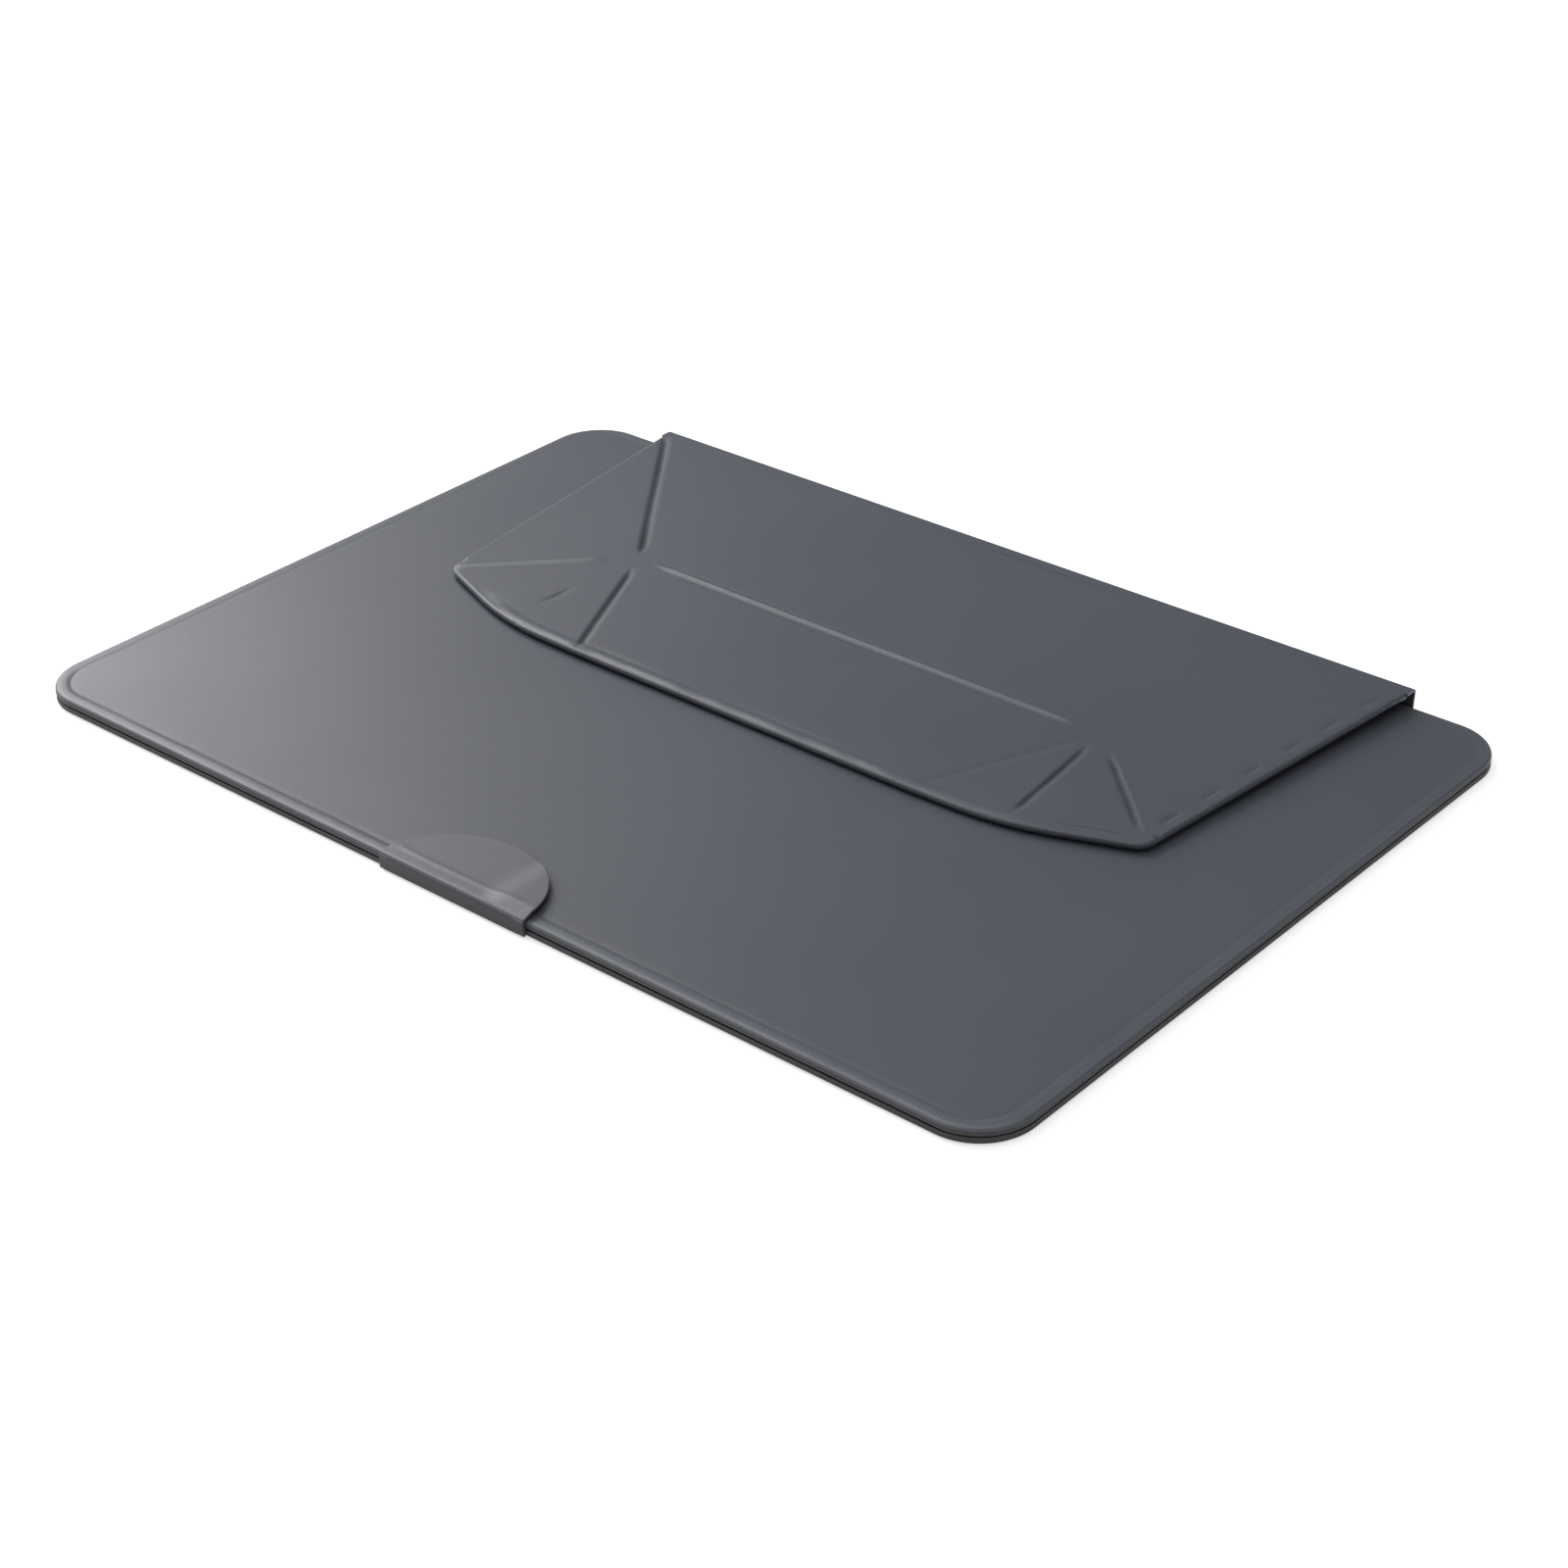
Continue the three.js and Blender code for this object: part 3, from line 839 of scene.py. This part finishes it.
def panelPoints(loop):
    # points inside a panel: rows along the free edge, then an even spread
    loop = np.asarray(loop)
    edge = np.asarray(freeEdge)
    along = np.gradient(edge, axis=0)
    inward = np.column_stack([along[:, 1], -along[:, 0]])
    inward /= np.linalg.norm(inward, axis=1)[:, None]
    middle = np.array([0, spineY - 60])
    flip = np.sign(((middle - edge) * inward).sum(axis=1))
    inward *= flip[:, None]
    rows = []
    for depth in edgeRows:
        row = edge + inward * depth
        keep = edgeDepth(row[:, 0], row[:, 1]) > depth - 0.02
        rows.append(row[keep])
    low, high = loop.min(axis=0), loop.max(axis=0)
    spacing = 3.2
    xs, ys = np.meshgrid(np.arange(low[0], high[0], spacing), np.arange(low[1], high[1], spacing * 0.87))
    xs[1::2] += spacing / 2
    grid = np.column_stack([xs.ravel(), ys.ravel()])
    grid = grid[edgeDepth(grid[:, 0], grid[:, 1]) > 8.2]
    points = np.vstack(rows + [grid])
    points = points[insideOf(points, loop)]
    fromEdge = edgeDepth(points[:, 0], points[:, 1])
    fromLoop = distanceTo(points, loop, closed=True)
    nearFreeEdge = (fromLoop > 0.99 * np.minimum(fromEdge, 0.9)) & (fromLoop >= fromEdge - 1e-6)
    return points[(fromLoop > 0.9) | nearFreeEdge]


def buildPanel(name, body, loop):
    points, faces = triangulate(loop, panelPoints(loop))
    piece = closedSheet(name, points, faces, flapTopZ, flapUnderZ, [leather, lining], pickFlap, flapPaintedLight)
    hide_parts(body + "_skin", body + "_lining")
    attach(piece, body)
    return piece


def stripEdge(name, which):
    # one long side of a crease's strip
    return grids[name][0 if which < 0 else -1]


def wedgeLoop(first, second):
    # a panel with its point at the vertex: out along one strip, round the outline, back along the other
    firstEdge, secondEdge = stripEdge(first, -1), stripEdge(second, 1)
    span = loopSpan(firstEdge[-1], secondEdge[-1])
    return list(firstEdge) + span + list(reversed(secondEdge))[:-1]


# Going clockwise seen from above, the outline runs from the right rear corner to the left one.
buildPanel("sidePanelRight", "right_side_panel", wedgeLoop("rearRight", "cornerRight"))
buildPanel("cornerPanelRight", "right_corner_panel", wedgeLoop("cornerRight", "bendRight"))
buildPanel("foldPanelRight", "right_fold_panel", wedgeLoop("bendRight", "innerRight"))
buildPanel("foldPanelLeft", "left_fold_panel", wedgeLoop("innerLeft", "bendLeft"))
buildPanel("cornerPanelLeft", "left_corner_panel", wedgeLoop("bendLeft", "cornerLeft"))
buildPanel("sidePanelLeft", "left_side_panel", wedgeLoop("cornerLeft", "rearLeft"))

innerRightEdge, innerLeftEdge = stripEdge("innerRight", -1), stripEdge("innerLeft", 1)
frontLoop = list(innerRightEdge) + loopSpan(innerRightEdge[-1], innerLeftEdge[-1])
frontLoop += list(reversed(innerLeftEdge)) + list(stripEdge("ridge", -1))[1:-1]
buildPanel("frontPanel", "front_panel", frontLoop)

rearRightEdge, rearLeftEdge = stripEdge("rearRight", 1), stripEdge("rearLeft", -1)
rearLoop = list(rearLeftEdge) + loopSpan(rearLeftEdge[-1], rearRightEdge[-1])
rearLoop += list(reversed(rearRightEdge)) + list(reversed(stripEdge("ridge", 1)))[1:-1]
buildPanel("rearPanel", "rear_panel", rearLoop)
print("flap panels built")

strips = {
    "rearRight": ("right_side_panel", "rear_panel"),
    "rearLeft": ("rear_panel", "left_side_panel"),
    "cornerRight": ("right_corner_panel", "right_side_panel"),
    "cornerLeft": ("left_side_panel", "left_corner_panel"),
    "innerRight": ("front_panel", "right_fold_panel"),
    "innerLeft": ("left_fold_panel", "front_panel"),
    "ridge": ("front_panel", "rear_panel"),
}
for name, (lowBody, highBody) in strips.items():
    piece = gridSheet("crease_" + name, grids[name], [leather, lining], pickFlap)
    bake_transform(piece)

# The bend crease is the opened one: each half of its strip rides on its own panel.
for name, lowBody, highBody in (("bendRight", "right_fold_panel", "right_corner_panel"),
                                ("bendLeft", "left_corner_panel", "left_fold_panel")):
    half = len(stripAcross) // 2
    for part, body in ((grids[name][:half + 1], lowBody), (grids[name][half:], highBody)):
        piece = gridSheet(f"crease_{name}_{body.split('_')[1]}", part, [leather, lining], pickFlap)
        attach(piece, body)
print("creases built")


# The spine strip: one skin that turns over the flap's rear edge and down behind the sleeve

spine = {"skin": 0.8, "turn": 1.2, "reach": 2.5, "lean": 0.5, "foot": 1.5, "under": 3.0, "half": 144.0,
         "foldHalf": 1.3, "footSkin": 0.5}


def arc(cy, cz, radius, first, last, steps):
    angles = np.radians(np.linspace(first, last, steps + 1))
    return [(cy + radius * math.cos(a), cz + radius * math.sin(a)) for a in angles]


def offsetLine(line, distance):
    line = np.asarray(line, float)
    along = np.gradient(line, axis=0)
    along /= np.linalg.norm(along, axis=1)[:, None]
    return line + np.column_stack([along[:, 1], -along[:, 0]]) * distance


def spineStrip(name, outer, thickness):
    # a skin that runs along the spine, from its line in the YZ plane
    outer = [np.asarray(p, float) for p in outer]
    inner = offsetLine(outer, thickness)
    ring = list(outer) + list(reversed(list(inner)))
    xs = np.linspace(-spine["half"], spine["half"], 61)
    size = len(ring)
    verts = [(x, p[0], p[1]) for x in xs for p in ring]
    faces = []
    for i in range(len(xs) - 1):
        here, ahead = i * size, (i + 1) * size
        for k in range(size):
            faces.append((here + k, here + (k + 1) % size, ahead + (k + 1) % size, ahead + k))
    count = len(outer)
    for base in (0, (len(xs) - 1) * size):
        for k in range(count - 1):
            faces.append((base + k, base + k + 1, base + size - 2 - k, base + size - 1 - k))
    slots = [0] * len(faces)
    for i in range(len(xs) - 1):
        for k in range(count, size - 1):
            slots[i * size + k] = 1
    return makeObject(name, verts, faces, [leather, lining], slots)


backY = spineY + spine["reach"]
turn = spine["turn"]
rearTop = flapSurface(spineY)
flapRear = spineY - pattern["rearGap"]
crest = [(flapRear, flapSurface(flapRear)), (spineY - 1.2, flapSurface(spineY - 1.2)), (spineY, rearTop)]
crest += arc(backY - turn, rearTop - turn, turn, 90, 0, 8)
wallTop = np.array((backY, rearTop - 1.9))
wallFoot = np.array((backY - spine["lean"], 2.2))
foldZ = (boxMm("spine_lower_skin")[1].z + boxMm("spine_upper_skin")[0].z) / 2


def wallLine(fromZ, toZ, steps):
    # points of the strip's outer face, which leans in a little going down
    shares = (np.linspace(fromZ, toZ, steps) - wallFoot[1]) / (wallTop[1] - wallFoot[1])
    return [wallFoot + (wallTop - wallFoot) * share for share in shares]


upperFold, lowerFold = foldZ + spine["foldHalf"], foldZ - spine["foldHalf"]
turnPiece = spineStrip("spineTurn", crest + [tuple(wallTop)], spine["skin"])
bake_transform(turnPiece)
upperPiece = spineStrip("spineUpper", wallLine(wallTop[1], upperFold, 3), spine["skin"])
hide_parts("spine_upper_skin", "spine_upper_board", "spine_upper_lining")
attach(upperPiece, "spine")
foldPiece = spineStrip("spineFold", wallLine(upperFold, lowerFold, 9), spine["skin"])
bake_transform(foldPiece)
foot = wallLine(lowerFold, wallFoot[1], 3)
foot += arc(wallFoot[0] - spine["foot"], spine["foot"] + 0.03, spine["foot"], 0, -90, 8)
foot += [(spineY - spine["under"], 0.03)]
lowerPiece = spineStrip("spineLower", foot, spine["footSkin"])
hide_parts("spine_lower_skin", "spine_lower_board", "spine_lower_lining")
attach(lowerPiece, "sleeve")
print("spine built")


# The closing tab: one tongue that comes up round the mouth and lies on the front cover

tab = {"half": 27.0, "depth": 24.0, "thick": 0.95, "nose": 0.2, "bend": 0.9, "foot": 0.45,
       "curl": 0.85, "hemAt": 4.3}
tabSkinLow, tabSkinHigh = boxMm("tab_skin")
tabOuterY = tabSkinLow.y
tabTopZ = tabSkinHigh.z


def tabPath(s):
    # height and place of the tab's outer face, s along it from its foot
    wallLength = tabTopZ - tab["bend"] - tab["foot"]
    turnLength = tab["bend"] * math.pi / 2
    if s < wallLength:
        return tabOuterY, tab["foot"] + s, -1.0, 0.0
    if s < wallLength + turnLength:
        a = (s - wallLength) / tab["bend"]
        y = tabOuterY + tab["bend"] * (1 - math.cos(a))
        z = tabTopZ - tab["bend"] + tab["bend"] * math.sin(a)
        return y, z, -math.cos(a), math.sin(a)
    return tabOuterY + tab["bend"] + s - wallLength - turnLength, tabTopZ, 0.0, 1.0


def tabHighlight(places):
    # painted highlight on the turned edge and the pressed line behind it, brightest at their ends
    fromEdge = places[:, 1] - tabOuterY - tab["bend"]
    ends = 0.45 + 0.55 * smoothStep(8, 16, np.abs(places[:, 0] + 4))
    return ends * bell(fromEdge - tab["hemAt"], 0.5) + 0.35 * bell(fromEdge - 0.3, 1.2)


def buildTab():
    wallLength = tabTopZ - tab["bend"] - tab["foot"]
    start = wallLength + tab["bend"] * math.pi / 2
    nearS = start + (nearY - tabOuterY - tab["bend"])
    loop = sampleLine([(tab["half"], nearS), (tab["half"], 0)], 0.6)[::-1]
    loop += [(tab["half"] * math.cos(a), nearS + tab["depth"] * math.sin(a))
             for a in np.linspace(0, math.pi, 61)[1:]]
    loop += sampleLine([(-tab["half"], nearS), (-tab["half"], 0)], 0.6)[1:]
    loop += sampleLine([(-tab["half"], 0), (tab["half"], 0)], 2.0)[1:-1]
    loop = [np.asarray(p, float) for p in loop]
    rows = []
    edge = np.asarray(loop)
    along = np.gradient(edge, axis=0)
    inward = np.column_stack([-along[:, 1], along[:, 0]])
    inward /= np.maximum(np.linalg.norm(inward, axis=1), 1e-9)[:, None]
    for depth in (0.06, 0.2, 0.45, 0.8, 1.4, 2.2, 3.2):
        row = edge + inward * depth
        keep = distanceTo(row, edge, closed=True) > depth - 0.02
        rows.append(row[keep])
    xs, ys = np.meshgrid(np.arange(-tab["half"], tab["half"], 2.0),
                         np.arange(0.3, nearS + tab["depth"], 0.6))
    grid = np.column_stack([xs.ravel(), ys.ravel()])
    rows.append(grid[distanceTo(grid, edge, closed=True) > 3.4])
    inside = np.vstack(rows)
    inside = inside[insideOf(inside, edge)]
    points, faces = triangulate(loop, inside)
    depth = distanceTo(points, edge, closed=True)
    drop = roundNose(depth, tab["nose"])
    fromEdge = points[:, 1] - start
    hem = 0.16 * bell(fromEdge - tab["hemAt"], 0.5)
    curl = tab["curl"] * smoothStep(9, 17, points[:, 0]) * smoothStep(0, 3, fromEdge)
    count = len(points)
    verts = []
    for layer in (0, 1):
        for (x, s), fall, swell, lift in zip(points, drop, hem, curl):
            y, z, ny, nz = tabPath(s)
            inset = tab["thick"] if layer else fall - swell
            verts.append((x, y - ny * inset, z - nz * inset + lift))
    used = {}
    for face in faces:
        for a, b in zip(face, face[1:] + face[:1]):
            used[(a, b)] = True
    rim = [(a, b) for a, b in used if (b, a) not in used]
    allFaces = list(faces) + [tuple(i + count for i in reversed(f)) for f in faces]
    allFaces += [(a, a + count, b + count, b) for a, b in rim]
    onWall = [max(points[i][1] for i in face) < wallLength + 0.4 for face in faces]
    # the tab's wall and rim get the dark edge colour, painted shade
    slots = [2 if wall else 0 for wall in onWall] + [1] * len(faces) + [2] * len(rim)
    looks = [tabLitLeather, lining, edgeShade]
    piece = makeObject("closingTab", verts, allFaces, looks, slots, {"paintedHighlight": tabHighlight})
    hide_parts("tab_skin", "tab_wrap", "tab_lining")
    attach(piece, "closing_tab")


buildTab()
print("tab built")


# Floor, light and camera

studio = {
    "lens": 71.8, "sensor": 36.0, "azimuth": 41.25, "elevation": 30.58, "roll": -1.21,
    "place": (0.52254, -0.58423, 0.44307), "floorGlow": 0.55, "sky": 0.35,
    "floorHalf": 60.0, "floorZ": -0.0002,
}


def makeCamera():
    data = bpy.data.cameras.new("camera")
    data.lens, data.sensor_width = studio["lens"], studio["sensor"]
    data.clip_start, data.clip_end = 0.01, 200
    camera = bpy.data.objects.new("camera", data)
    a, e, r = (math.radians(studio[k]) for k in ("azimuth", "elevation", "roll"))
    right = Vector((math.cos(a), math.sin(a), 0))
    up = Vector((-math.sin(a) * math.sin(e), math.cos(a) * math.sin(e), math.cos(e)))
    back = Vector((math.sin(a) * math.cos(e), -math.cos(a) * math.cos(e), math.sin(e)))
    turned = right * math.cos(r) + up * math.sin(r)
    upright = up * math.cos(r) - right * math.sin(r)
    camera.matrix_world = Matrix((turned, upright, back)).transposed().to_4x4()
    camera.location = studio["place"]
    bpy.context.scene.collection.objects.link(camera)
    bpy.context.scene.camera = camera


def makeLight(name, place, aim, size, power, colour=(1, 1, 1)):
    data = bpy.data.lights.new(name, "AREA")
    data.shape = "RECTANGLE"
    data.size, data.size_y = size
    data.energy = power
    data.color = colour
    lamp = bpy.data.objects.new(name, data)
    lamp.location = place
    lamp.rotation_euler = (Vector(aim) - Vector(place)).to_track_quat("-Z", "Y").to_euler()
    bpy.context.scene.collection.objects.link(lamp)


def makeFloor():
    mesh = bpy.data.meshes.new("floor")
    half, z = studio["floorHalf"], studio["floorZ"]
    corners = [(-half, -half, z), (half, -half, z), (half, half, z), (-half, half, z)]
    mesh.from_pydata(corners, [], [(0, 1, 2, 3)])
    floor = bpy.data.objects.new("floor", mesh)
    material, tree, shader = startMaterial("paleFloor")
    shader.inputs["Base Color"].default_value = (0.85, 0.85, 0.85, 1)
    shader.inputs["Roughness"].default_value = 0.9
    shader.inputs["Emission Color"].default_value = (1, 1, 1, 1)
    shader.inputs["Emission Strength"].default_value = studio["floorGlow"]
    mesh.materials.append(material)
    bpy.context.scene.collection.objects.link(floor)


def makeWorld():
    world = bpy.data.worlds.new("studio")
    bpy.context.scene.world = world
    world.use_nodes = True
    sky = world.node_tree.nodes["Background"]
    sky.inputs["Color"].default_value = (1, 1, 1, 1)
    sky.inputs["Strength"].default_value = studio["sky"]


makeCamera()
makeFloor()
makeWorld()
makeLight("keyLeft", (-1.5, 0.24, 0.95), (-0.1, 0, 0), (1.3, 1.2), 30)
makeLight("topSoft", (0.0, -0.2, 2.4), (0, 0, 0), (2.5, 2.5), 18)
bpy.context.scene.view_settings.view_transform = "Standard"
print("studio built")
